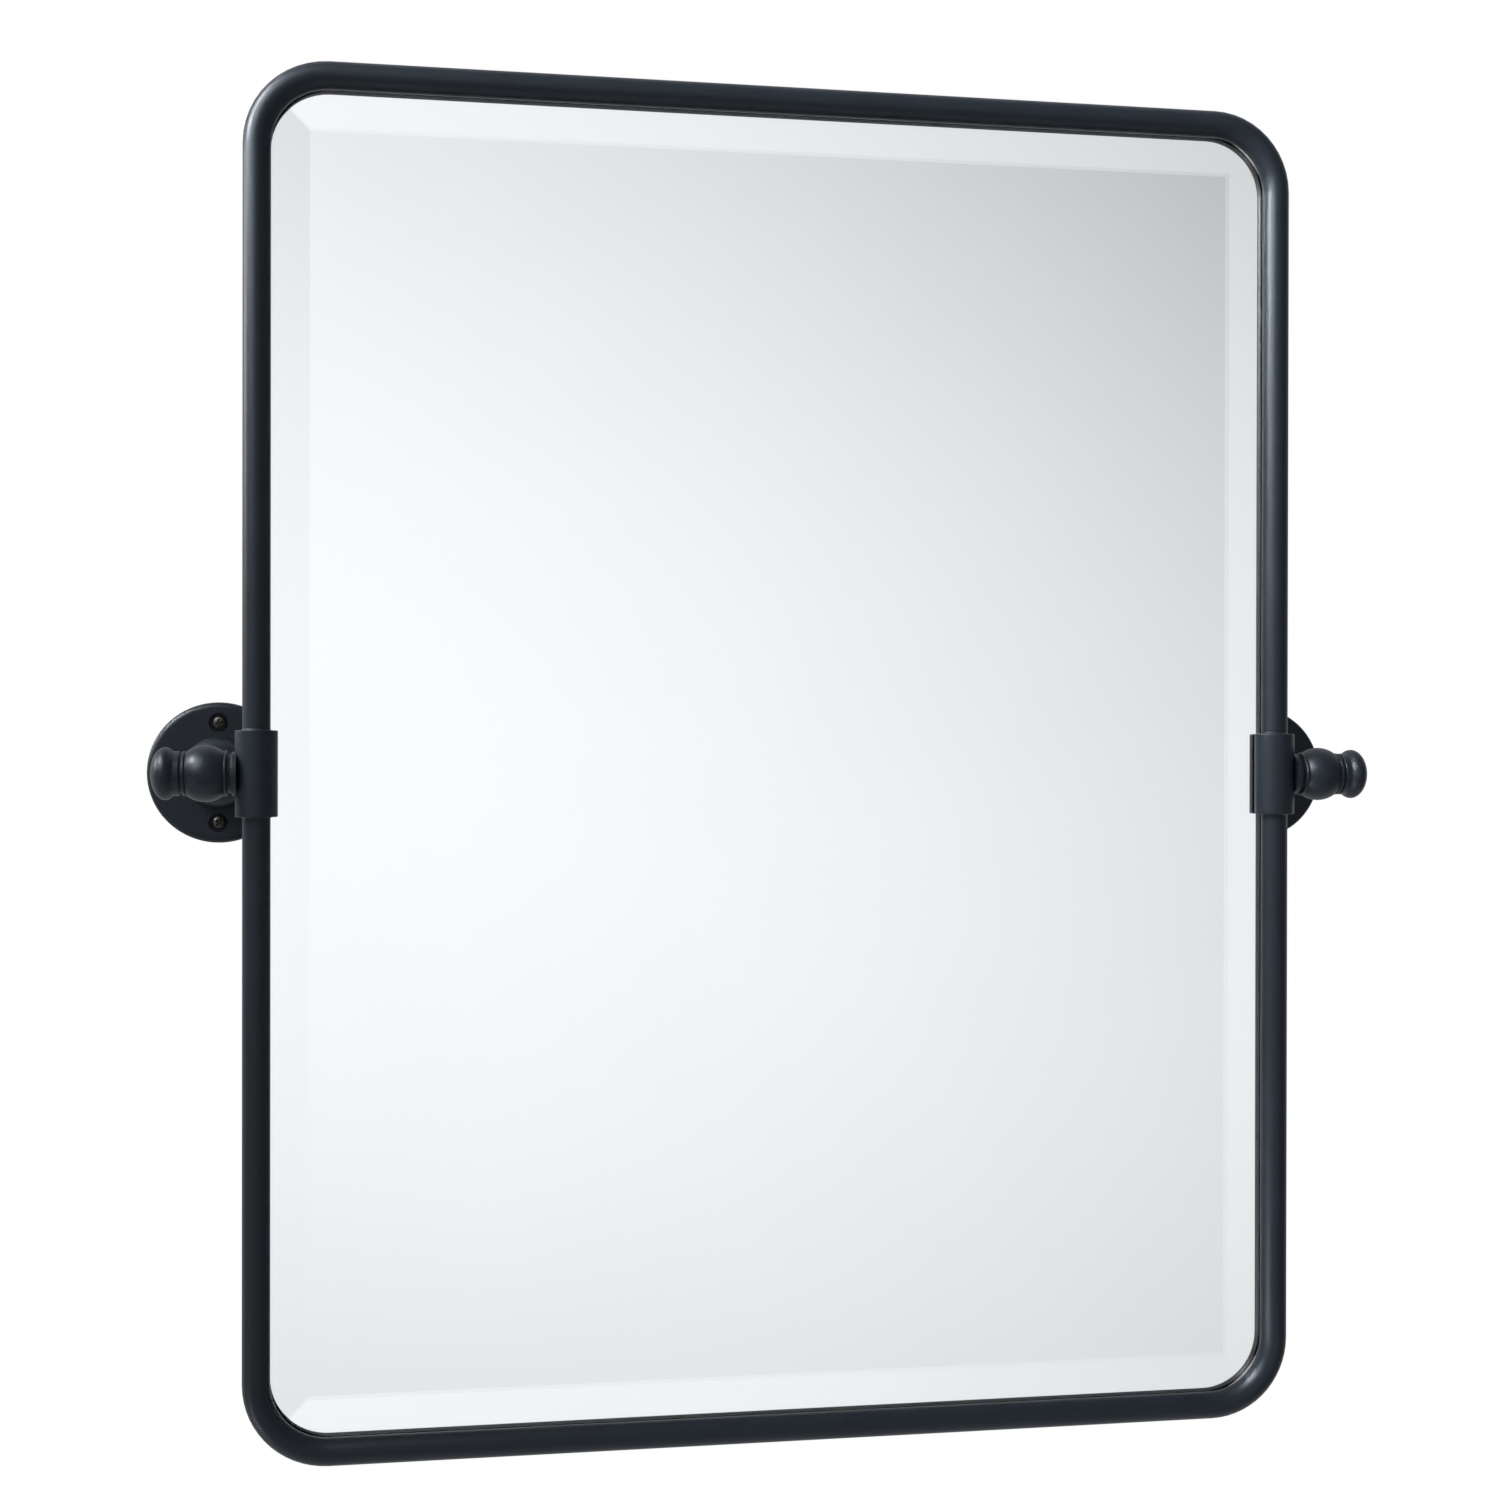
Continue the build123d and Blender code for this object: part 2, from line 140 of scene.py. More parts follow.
# Float glass, polished: clear, with the faint green of iron in it and a trace of wiping on its face.
def makeFloatGlass():
    glass = {
        "clear": "#FEFFFF", "deep": "#FCFEFE",
        "wipe": 60 * mm, "roughness": (0.0, 0.004), "noise": (0.55, 0.8),
        "ior": 1.52,
    }
    material, tree, place = startMaterial("floatGlass")
    wipe = addNode(tree, "ShaderNodeTexNoise", {"Vector": place, "Scale": 1 / glass["wipe"], "Detail": 5})
    tone = addNode(
        tree, "ShaderNodeMix",
        {"Factor": wipe.outputs["Fac"], "A": linear(glass["clear"]), "B": linear(glass["deep"])},
        data_type="RGBA",
    )
    haze = addNode(
        tree, "ShaderNodeMapRange",
        {"Value": wipe.outputs["Fac"], "From Min": glass["noise"][0], "From Max": glass["noise"][1],
         "To Min": glass["roughness"][0], "To Max": glass["roughness"][1]},
    )
    shader = addNode(
        tree, "ShaderNodeBsdfPrincipled",
        {"Base Color": tone.outputs["Result"], "Roughness": haze.outputs["Result"],
         "Transmission Weight": 1.0, "IOR": glass["ior"]},
    )
    addNode(tree, "ShaderNodeOutputMaterial", {"Surface": shader.outputs["BSDF"]})
    return material


# Silver, laid on the back of the glass from solution: a perfect mirror, very slightly uneven in tone.
def makeSilver():
    silver = {"bright": "#FBFCFC", "dull": "#F8FAFA", "patch": 90 * mm, "roughness": 0.0}
    material, tree, place = startMaterial("depositedSilver")
    patch = addNode(tree, "ShaderNodeTexNoise", {"Vector": place, "Scale": 1 / silver["patch"], "Detail": 2})
    tone = addNode(
        tree, "ShaderNodeMix",
        {"Factor": patch.outputs["Fac"], "A": linear(silver["bright"]), "B": linear(silver["dull"])},
        data_type="RGBA",
    )
    shader = addNode(
        tree, "ShaderNodeBsdfPrincipled",
        {"Base Color": tone.outputs["Result"], "Metallic": 1.0, "Roughness": silver["roughness"]},
    )
    addNode(tree, "ShaderNodeOutputMaterial", {"Surface": shader.outputs["BSDF"]})
    return material


# Mirror backing paint, curtain coated over the silver: flat grey with faint runs down the sheet.
def makeBackingPaint():
    paint = {
        "dark": "#5B6163", "light": "#666C6D",
        "run": 6 * mm, "stretch": 12.5,  # the runs' width, and how many times longer they are
        "height": 0.02 * mm, "roughness": 0.55,
    }
    material, tree, place = startMaterial("mirrorBackingPaint")
    stretched = addNode(tree, "ShaderNodeMapping", {"Vector": place, "Scale": (1, 1, 1 / paint["stretch"])})
    runs = addNode(
        tree, "ShaderNodeTexNoise",
        {"Vector": stretched.outputs["Vector"], "Scale": 1 / paint["run"], "Detail": 3},
    )
    tone = addNode(
        tree, "ShaderNodeMix",
        {"Factor": runs.outputs["Fac"], "A": linear(paint["dark"]), "B": linear(paint["light"])},
        data_type="RGBA",
    )
    bump = addNode(tree, "ShaderNodeBump", {"Height": runs.outputs["Fac"], "Distance": paint["height"]})
    shader = addNode(
        tree, "ShaderNodeBsdfPrincipled",
        {"Base Color": tone.outputs["Result"], "Roughness": paint["roughness"],
         "Normal": bump.outputs["Normal"]},
    )
    addNode(tree, "ShaderNodeOutputMaterial", {"Surface": shader.outputs["BSDF"]})
    return material


# Edge lacquer, brushed round the ground edge of the glass to keep damp from the silver: dull black.
def makeEdgeLacquer():
    lacquer = {"dark": "#0E0F10", "light": "#17191A", "lap": 9 * mm, "height": 0.01 * mm, "roughness": 0.6}
    material, tree, place = startMaterial("brushedEdgeLacquer")
    laps = addNode(tree, "ShaderNodeTexNoise", {"Vector": place, "Scale": 1 / lacquer["lap"], "Detail": 2})
    tone = addNode(
        tree, "ShaderNodeMix",
        {"Factor": laps.outputs["Fac"], "A": linear(lacquer["dark"]), "B": linear(lacquer["light"])},
        data_type="RGBA",
    )
    bump = addNode(tree, "ShaderNodeBump", {"Height": laps.outputs["Fac"], "Distance": lacquer["height"]})
    shader = addNode(
        tree, "ShaderNodeBsdfPrincipled",
        {"Base Color": tone.outputs["Result"], "Roughness": lacquer["roughness"],
         "Normal": bump.outputs["Normal"]},
    )
    addNode(tree, "ShaderNodeOutputMaterial", {"Surface": shader.outputs["BSDF"]})
    return material


# Closed-cell polyethylene foam tape, slit from a roll: off-white, with fine cells on its cut edges, each cell
# drawn darker in its hollow middle as painted shade and paler on its raised walls.
def makeFoam():
    foam = {"pitShade": "#B9B8B2", "wall": "#D2D1CB", "size": 0.8 * mm, "depth": 0.15 * mm, "roughness": 0.85}
    material, tree, place = startMaterial("closedCellFoam")
    cells = addNode(tree, "ShaderNodeTexVoronoi", {"Vector": place, "Scale": 1 / foam["size"]})
    # painted shade: the colour darkens towards each cell's hollow middle, where the bump below is lowest
    tone = addNode(
        tree, "ShaderNodeMix",
        {"Factor": cells.outputs["Distance"], "A": linear(foam["pitShade"]), "B": linear(foam["wall"])},
        data_type="RGBA",
    )
    bump = addNode(tree, "ShaderNodeBump", {"Height": cells.outputs["Distance"], "Distance": foam["depth"]})
    shader = addNode(
        tree, "ShaderNodeBsdfPrincipled",
        {"Base Color": tone.outputs["Result"], "Roughness": foam["roughness"],
         "Normal": bump.outputs["Normal"]},
    )
    addNode(tree, "ShaderNodeOutputMaterial", {"Surface": shader.outputs["BSDF"]})
    return material


# Hardboard, pressed from wood fibre and sealed with black stain: a flat brown-black face in which short
# matted fibres still show.
def makeHardboard():
    board = {
        "dark": "#28241F", "light": "#4A4138",
        "fibre": 2.2 * mm,  # real fibre is near 0.3 mm wide, drawn coarser to show
        "fibreLength": 7.0,  # times its width
        "directions": (35, 80, 140), "bend": 0.6,  # degrees; fibres lie every way, so three layers cross
        "cloud": 120 * mm, "cloudShare": 0.35, "height": 0.05 * mm,
        "toneNoise": (0.62, 0.9),
        "roughness": (0.5, 0.72), "noise": (0.4, 0.7),
    }
    material, tree, place = startMaterial("stainedHardboard")
    cloud = addNode(tree, "ShaderNodeTexNoise", {"Vector": place, "Scale": 1 / board["cloud"], "Detail": 3})
    layers = []
    for turn in board["directions"]:
        laid = addNode(
            tree, "ShaderNodeMapping",
            {"Vector": place, "Rotation": (0, math.radians(turn), 0),
             "Scale": (1 / board["fibreLength"], 1, 1)},
        )
        layers.append(addNode(
            tree, "ShaderNodeTexNoise",
            {"Vector": laid.outputs["Vector"], "Scale": 1 / board["fibre"], "Detail": 1,
             "Distortion": board["bend"]},
        ))
    matted = layers[0].outputs["Fac"]
    for layer in layers[1:]:
        matted = addNode(
            tree, "ShaderNodeMath", {0: matted, 1: layer.outputs["Fac"]}, operation="MAXIMUM"
        ).outputs["Value"]
    clouded = addNode(
        tree, "ShaderNodeMath", {0: cloud.outputs["Fac"], 1: board["cloudShare"], 2: matted},
        operation="MULTIPLY_ADD",
    )
    spread = addNode(
        tree, "ShaderNodeMapRange",
        {"Value": clouded.outputs["Value"],
         "From Min": board["toneNoise"][0], "From Max": board["toneNoise"][1]},
    )
    tone = addNode(
        tree, "ShaderNodeMix",
        {"Factor": spread.outputs["Result"], "A": linear(board["dark"]), "B": linear(board["light"])},
        data_type="RGBA",
    )
    rough = addNode(
        tree, "ShaderNodeMapRange",
        {"Value": matted, "From Min": board["noise"][0], "From Max": board["noise"][1],
         "To Min": board["roughness"][0], "To Max": board["roughness"][1]},
    )
    bump = addNode(tree, "ShaderNodeBump", {"Height": matted, "Distance": board["height"]})
    shader = addNode(
        tree, "ShaderNodeBsdfPrincipled",
        {"Base Color": tone.outputs["Result"], "Roughness": rough.outputs["Result"],
         "Normal": bump.outputs["Normal"]},
    )
    addNode(tree, "ShaderNodeOutputMaterial", {"Surface": shader.outputs["BSDF"]})
    return material


# Bright zinc, electroplated: pale, slightly blue steel with a cloudy lustre and a fine drawn grain.
def makeZincPlate():
    zinc = {
        "dark": "#A3A6A8", "light": "#C2C4C4",
        "cloud": 5 * mm, "grain": 0.25 * mm, "height": 0.004 * mm,
        "roughness": (0.28, 0.42), "noise": (0.35, 0.65),
    }
    material, tree, place = startMaterial("electroplatedZinc")
    cloud = addNode(tree, "ShaderNodeTexNoise", {"Vector": place, "Scale": 1 / zinc["cloud"], "Detail": 4})
    grain = addNode(tree, "ShaderNodeTexNoise", {"Vector": place, "Scale": 1 / zinc["grain"], "Detail": 2})
    tone = addNode(
        tree, "ShaderNodeMix",
        {"Factor": cloud.outputs["Fac"], "A": linear(zinc["dark"]), "B": linear(zinc["light"])},
        data_type="RGBA",
    )
    rough = addNode(
        tree, "ShaderNodeMapRange",
        {"Value": cloud.outputs["Fac"], "From Min": zinc["noise"][0], "From Max": zinc["noise"][1],
         "To Min": zinc["roughness"][0], "To Max": zinc["roughness"][1]},
    )
    bump = addNode(tree, "ShaderNodeBump", {"Height": grain.outputs["Fac"], "Distance": zinc["height"]})
    shader = addNode(
        tree, "ShaderNodeBsdfPrincipled",
        {"Base Color": tone.outputs["Result"], "Metallic": 1.0, "Roughness": rough.outputs["Result"],
         "Normal": bump.outputs["Normal"]},
    )
    addNode(tree, "ShaderNodeOutputMaterial", {"Surface": shader.outputs["BSDF"]})
    return material


# Plain mild steel, turned on a lathe: fine rings of tool marks and a darker, oiled grey.
def makeTurnedSteel():
    steel = {
        "dark": "#77797B", "light": "#8E9092",
        "feed": 1.885 * mm,  # real rings are near 0.3 mm apart, drawn coarser to show
        "wobble": 0.4, "height": 0.01 * mm, "roughness": 0.34,
    }
    waveScale = math.tau / 20 / steel["feed"]  # at a scale of 1 the waves run through 20 radians a metre
    material, tree, place = startMaterial("turnedMildSteel")
    rings = addNode(
        tree, "ShaderNodeTexWave",
        {"Vector": place, "Scale": waveScale, "Distortion": steel["wobble"], "Detail": 2},
        bands_direction="Z",
    )
    tone = addNode(
        tree, "ShaderNodeMix",
        {"Factor": rings.outputs["Fac"], "A": linear(steel["dark"]), "B": linear(steel["light"])},
        data_type="RGBA",
    )
    bump = addNode(tree, "ShaderNodeBump", {"Height": rings.outputs["Fac"], "Distance": steel["height"]})
    shader = addNode(
        tree, "ShaderNodeBsdfPrincipled",
        {"Base Color": tone.outputs["Result"], "Metallic": 1.0, "Roughness": steel["roughness"],
         "Normal": bump.outputs["Normal"]},
    )
    addNode(tree, "ShaderNodeOutputMaterial", {"Surface": shader.outputs["BSDF"]})
    return material


# Black nickel on steel screws, barrel plated: brown-grey and soft, rubbed brighter in patches.
def makeBlackNickel():
    nickel = {
        "dark": "#4A4844", "light": "#7B7872",
        "rub": 1.2 * mm, "grain": 0.2 * mm, "height": 0.003 * mm,
        "roughness": (0.32, 0.5), "noise": (0.35, 0.65),  # where it is rubbed it is smoother
    }
    material, tree, place = startMaterial("barrelBlackNickel")
    rub = addNode(tree, "ShaderNodeTexNoise", {"Vector": place, "Scale": 1 / nickel["rub"], "Detail": 3})
    grain = addNode(tree, "ShaderNodeTexNoise", {"Vector": place, "Scale": 1 / nickel["grain"], "Detail": 2})
    tone = addNode(
        tree, "ShaderNodeMix",
        {"Factor": rub.outputs["Fac"], "A": linear(nickel["dark"]), "B": linear(nickel["light"])},
        data_type="RGBA",
    )
    rough = addNode(
        tree, "ShaderNodeMapRange",
        {"Value": rub.outputs["Fac"], "From Min": nickel["noise"][0], "From Max": nickel["noise"][1],
         "To Min": nickel["roughness"][1], "To Max": nickel["roughness"][0]},
    )
    bump = addNode(tree, "ShaderNodeBump", {"Height": grain.outputs["Fac"], "Distance": nickel["height"]})
    shader = addNode(
        tree, "ShaderNodeBsdfPrincipled",
        {"Base Color": tone.outputs["Result"], "Metallic": 1.0, "Roughness": rough.outputs["Result"],
         "Normal": bump.outputs["Normal"]},
    )
    addNode(tree, "ShaderNodeOutputMaterial", {"Surface": shader.outputs["BSDF"]})
    return material


# Nylon 66, moulded and dyed through: a close, slightly waxy black.
def makeNylon():
    nylon = {
        "dark": "#131417", "light": "#1A1B1E",
        "spark": 0.4 * mm, "height": 0.006 * mm,
        "roughness": 0.42, "specular": 0.35,
    }
    material, tree, place = startMaterial("mouldedNylon")
    spark = addNode(tree, "ShaderNodeTexNoise", {"Vector": place, "Scale": 1 / nylon["spark"], "Detail": 2})
    tone = addNode(
        tree, "ShaderNodeMix",
        {"Factor": spark.outputs["Fac"], "A": linear(nylon["dark"]), "B": linear(nylon["light"])},
        data_type="RGBA",
    )
    bump = addNode(tree, "ShaderNodeBump", {"Height": spark.outputs["Fac"], "Distance": nylon["height"]})
    shader = addNode(
        tree, "ShaderNodeBsdfPrincipled",
        {"Base Color": tone.outputs["Result"], "Roughness": nylon["roughness"],
         "Specular IOR Level": nylon["specular"], "Normal": bump.outputs["Normal"]},
    )
    addNode(tree, "ShaderNodeOutputMaterial", {"Surface": shader.outputs["BSDF"]})
    return material


powderCoat = makePowderCoat()
silver = makeSilver()
backingPaint = makeBackingPaint()
edgeLacquer = makeEdgeLacquer()
zincPlate = makeZincPlate()
blackNickel = makeBlackNickel()
finishOf = {
    "black_coat": powderCoat,
    "silvered_glass": makeFloatGlass(),
    "foam_tape": makeFoam(),
    "fibreboard": makeHardboard(),
    "zinc_steel": zincPlate,
    "plain_steel": makeTurnedSteel(),
    "dark_steel": blackNickel,
    "black_nylon": makeNylon(),
}
for name, node in frame["nodes"].items():
    node.material_slots[0].material = finishOf[slotOf[name]]
print("finishes on", len(frame["nodes"]), "CAD nodes")


# Turns a bmesh into a piece that rides on a body. Edges sharper than the crease angle stay crisp.
def addPiece(name, shape, materials, body, crease=38):
    bmesh.ops.remove_doubles(shape, verts=shape.verts, dist=0.0001 * mm)
    bmesh.ops.recalc_face_normals(shape, faces=shape.faces)
    for face in shape.faces:
        face.smooth = True
    for edge in shape.edges:
        edge.smooth = edge.calc_face_angle(0) < math.radians(crease)
    mesh = bpy.data.meshes.new(name)
    shape.to_mesh(mesh)
    shape.free()
    for material in materials:
        mesh.materials.append(material)
    piece = bpy.data.objects.new(name, mesh)
    bpy.context.scene.collection.objects.link(piece)
    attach(piece, body)
    return piece


# Skins a row of rings of points, each ring as long as the next. Both ends are filled, unless the row is
# closed and its last ring joins its first.
def skinRings(shape, rings, closed=False):
    rows = [[shape.verts.new(point) for point in ring] for ring in rings]
    count = len(rows[0])
    following = rows[1:] + rows[:1] if closed else rows[1:]
    for near, far in zip(rows, following):
        for i in range(count):
            j = (i + 1) % count
            shape.faces.new((near[i], near[j], far[j], far[i]))
    if not closed:
        shape.faces.new(rows[0])
        shape.faces.new(rows[-1])


# The silver and its paint: a shallow tray let in a hair inside the back and edges of the glass. The silver
# is the tray's floor, the paint is behind it, and black lacquer seals the edge up to the foot of the bevel.
def makeSilvering():
    tray = {
        "glassCorner": 27.5 * mm, "cornerSteps": 16,
        "depth": 0.08 * mm, "thickness": 0.06 * mm, "inset": 0.1 * mm,
        "rim": 1.7 * mm,  # height of the lacquered edge, just under the glass's thickness there
    }
    low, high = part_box("mirror_glass")
    centre = (low + high) / 2
    reachX = (high.x - low.x) / 2 - tray["glassCorner"]
    reachZ = (high.z - low.z) / 2 - tray["glassCorner"]

    def outline(inset, depth):
        points = []
        radius = tray["glassCorner"] - tray["inset"] - inset
        for quarter, (signX, signZ) in enumerate(((1, 1), (-1, 1), (-1, -1), (1, -1))):
            for step in range(tray["cornerSteps"] + 1):
                turn = math.radians(90 * (quarter + step / tray["cornerSteps"]))
                points.append(Vector((
                    centre.x + signX * reachX + radius * math.cos(turn),
                    depth,
                    centre.z + signZ * reachZ + radius * math.sin(turn),
                )))
        return points

    silverY = high.y - tray["depth"]
    paintY = silverY + tray["thickness"]
    rimY = high.y - tray["rim"]
    shape = bmesh.new()
    skinRings(shape, [
        outline(tray["thickness"], silverY),
        outline(tray["thickness"], rimY),
        outline(0, rimY),
        outline(0, paintY),
    ])
    coats = [silver, backingPaint, edgeLacquer]
    for face in shape.faces:
        if len(face.verts) == 4:
            face.material_index = coats.index(edgeLacquer)
        elif face.calc_center_median().y < (silverY + paintY) / 2:
            face.material_index = coats.index(silver)
        else:
            face.material_index = coats.index(backingPaint)
    addPiece("silvering", shape, coats, "mirror")


makeSilvering()
print("silvering on the back of the glass")


# Pan-head screw with a cross recess and a real thread, made along Z with the seat of its head at 0. Its
# size is its own, and the form is common to all the screws, mostly as shares of their sizes.
def makeScrew(name, size, place, material, body, node):
    form = {
        "headWall": 0.3, "crown": 0.7, "headTop": 0.02,  # straight side, squareness and tip of the dome
        "recessFoot": 0.5, "recessMouth": 1.15,  # the cross tapers from its mouth, just clear of the head
        "neckLap": 0.02 * mm,  # how far the neck runs into the head
        "ridge": 0.5, "runOut": 0.3,  # share of the pitch that it takes, and of its height left at the point
        "point": ((0.3, 0.55), (0, 0.15)),  # shares of the tip's length still to go and of the core's radius
        "segments": 32, "domeSteps": 8, "stepsPerTurn": 8, "crease": 50,
    }
    turns = [math.tau * i / form["segments"] for i in range(form["segments"])]

    def ring(z, radius):
        return [Vector((radius * math.cos(turn), radius * math.sin(turn), z)) for turn in turns]

    # A loose object skinned from rings, for cutting the head.
    def makeBlank(blankName, rings):
        shape = bmesh.new()
        skinRings(shape, rings)
        bmesh.ops.recalc_face_normals(shape, faces=shape.faces)
        mesh = bpy.data.meshes.new(blankName)
        shape.to_mesh(mesh)
        shape.free()
        blank = bpy.data.objects.new(blankName, mesh)
        bpy.context.scene.collection.objects.link(blank)
        return blank

    head, headHeight = size["head"], size["headHeight"]
    wallHeight = headHeight * form["headWall"]
    rings = [ring(0, size["neck"]), ring(0, head)]
    for step in range(form["domeSteps"]):
        turn = math.radians(90) * step / form["domeSteps"]
        z = wallHeight + (headHeight - wallHeight) * math.sin(turn)
        rings.append(ring(z, head * math.cos(turn) ** form["crown"]))
    rings.append([
        Vector((point.x * form["headTop"], point.y * form["headTop"], headHeight)) for point in rings[-1]
    ])
    blank = makeBlank("headBlank", rings)

    # A tapered cross is cut out of the head.
    arm, half = size["recess"], size["recessWidth"] / 2
    crossOutline = []
    for quarter in range(4):
        spin = Matrix.Rotation(math.radians(90 * quarter), 3, "Z")
        for x, y in ((arm, -half), (arm, half), (half, half)):
            crossOutline.append(spin @ Vector((x, y, 0)))
    ends = (
        (form["recessFoot"], headHeight - size["recessDepth"]),
        (form["recessMouth"], headHeight * form["recessMouth"]),
    )
    cutter = makeBlank(
        "crossCutter", [[point * scale + Vector((0, 0, z)) for point in crossOutline] for scale, z in ends]
    )
    cut = blank.modifiers.new("recess", "BOOLEAN")
    cut.operation = "DIFFERENCE"
    cut.solver = "EXACT"
    cut.object = cutter
    bpy.context.view_layer.update()
    shape = bmesh.new()
    shape.from_mesh(blank.evaluated_get(bpy.context.evaluated_depsgraph_get()).to_mesh())
    for item in (blank, cutter):
        bpy.data.objects.remove(item)

    # The neck, the thread as one helical ridge that fades in and out, and the point.
    pitch, core = size["pitch"], size["core"]
    rings = [ring(form["neckLap"], size["neck"]), ring(-size["neckLength"], size["neck"])]
    threadLength = size["length"] - size["neckLength"] - size["tip"]
    steps = round(threadLength / pitch * form["stepsPerTurn"])
    for step in range(steps + 1):
        down = threadLength * step / steps
        fade = min(1, down / pitch, (threadLength - down) / pitch + form["runOut"])
        z = -size["neckLength"] - down
        points = []
        for turn in turns:
            phase = (z / pitch - turn / math.tau) % 1
            ridge = max(0, 1 - abs(phase - 0.5) * 2 / form["ridge"]) * fade
            radius = core + (size["crest"] - core) * ridge
            points.append(Vector((radius * math.cos(turn), radius * math.sin(turn), z)))
        rings.append(points)
    for toGo, share in form["point"]:
        rings.append(ring(-size["length"] + size["tip"] * toGo, core * share))
    skinRings(shape, rings)
    bmesh.ops.transform(shape, matrix=place, verts=shape.verts)
    piece = addPiece(name, shape, [material], body, crease=form["crease"])
    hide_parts(node)


# Wall screws, two in each plate, with their heads in the counterbores.
def makeWallScrews():
    size = {
        "head": 3.3 * mm, "headHeight": 2.0 * mm,
        "recess": 1.75 * mm, "recessWidth": 0.85 * mm, "recessDepth": 1.5 * mm,
        "neck": 1.85 * mm, "neckLength": 3.4 * mm,
        "core": 1.45 * mm, "crest": 2.0 * mm, "pitch": 1.6 * mm,
        "length": 32 * mm, "tip": 3 * mm,
        "turns": {"left": (12, 57), "right": (38, 5)},  # where each screw came to rest, in degrees
    }
    for side in sides:
        low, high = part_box(f"{side}_wall_screws")
        seatY = low.y + size["headHeight"]
        spots = (("upper", high.z - size["head"]), ("lower", low.z + size["head"]))
        for (spot, z), turn in zip(spots, size["turns"][side]):
            place = Matrix.Translation(((low.x + high.x) / 2, seatY, z))
            place = place @ Matrix.Rotation(math.radians(90), 4, "X")
            place = place @ Matrix.Rotation(math.radians(turn), 4, "Z")
            makeScrew(
                f"{side}_{spot}_wall_screw", size, place, blackNickel, "brackets",
                f"{side}_wall_screws",
            )


makeWallScrews()
print("wall screws")


# The eight tab screws, seated on the tabs and biting into the board.
def makeTabScrews():
    size = {
        "head": 3.5 * mm, "headHeight": 2.0 * mm,
        "recess": 1.9 * mm, "recessWidth": 0.85 * mm, "recessDepth": 1.4 * mm,
        "neck": 1.45 * mm, "neckLength": 1.5 * mm,
        "core": 1.15 * mm, "crest": 1.6 * mm, "pitch": 1.1 * mm,
        "length": 5.5 * mm, "tip": 3 * mm,
        "turns": (20, 71, 48, 5, 33, 80, 62, 14),  # where each screw came to rest, in degrees
    }
    low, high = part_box("tab_screws")
    seatY = high.y - size["headHeight"]
    middle = (low + high) / 2
    reachX = (high.x - low.x) / 2 - size["head"]
    reachZ = (high.z - low.z) / 2 - size["head"]
    spots = [(signX * reachX, signZ * tabSpread["z"]) for signX in (-1, 1) for signZ in (-1, 1)]
    spots += [(signX * tabSpread["x"], signZ * reachZ) for signX in (-1, 1) for signZ in (-1, 1)]
    for number, ((x, z), turn) in enumerate(zip(spots, size["turns"]), start=1):
        place = Matrix.Translation((middle.x + x, seatY, middle.z + z))
        place = place @ Matrix.Rotation(math.radians(-90), 4, "X")
        place = place @ Matrix.Rotation(math.radians(turn), 4, "Z")
        makeScrew(f"tab_screw_{number}", size, place, zincPlate, "mirror", "tab_screws")


makeTabScrews()
print("tab screws")


# A ring of solder drawn into the corner where the tube enters a sleeve.
def makeSolderRings():
    solder = {
        "height": 0.9 * mm, "spread": 0.75 * mm, "sink": 0.15 * mm, "steps": 6, "segments": 64,
        "lump": 0.12, "lumps": 3, "lumpShift": 50,  # share, count round the ring, and radians per metre up
        "ripple": 0.06, "ripples": 7,
        "thinning": 0.8,  # beside the glass, where the sleeve is cut
        "thinAt": math.radians(130), "thinReach": math.radians(25),
    }
    tubeLow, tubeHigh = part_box("upper_tube")
    tubeRadius = (tubeHigh.y - tubeLow.y) / 2
    # The concave face runs from the tube down to the sleeve's end; the back is inside the metal.
    profile = []
    for step in range(solder["steps"] + 1):
        turn = math.radians(90) * step / solder["steps"]
        profile.append((solder["spread"] * (1 - math.sin(turn)), solder["height"] * (1 - math.cos(turn))))
    profile.append((-solder["sink"], solder["height"]))
    profile.append((-solder["sink"], -solder["sink"]))
    profile.append((solder["spread"], -solder["sink"]))
    for side, sign in sides.items():
        low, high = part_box(f"{side}_sleeve")
        middle = (low + high) / 2
        for end, level, way in (("upper", high.z, 1), ("lower", low.z, -1)):
            rings = []
            for i in range(solder["segments"]):
                turn = math.tau * i / solder["segments"]
                lump = 1 + solder["lump"] * math.sin(solder["lumps"] * turn + level * solder["lumpShift"])
                lump += solder["ripple"] * math.sin(solder["ripples"] * turn)
                fromThin = (turn - solder["thinAt"]) / solder["thinReach"]
                lump *= 1 - solder["thinning"] * math.exp(-fromThin ** 2)
                rings.append([
                    Vector((
                        middle.x + sign * (tubeRadius + out * lump) * math.cos(turn),
                        middle.y + (tubeRadius + out * lump) * math.sin(turn),
                        level + way * up * lump,
                    ))
                    for out, up in profile
                ])
            shape = bmesh.new()
            skinRings(shape, rings, closed=True)
            addPiece(f"{side}_{end}_solder", shape, [powderCoat], "mirror", crease=60)


makeSolderRings()
print("solder rings")


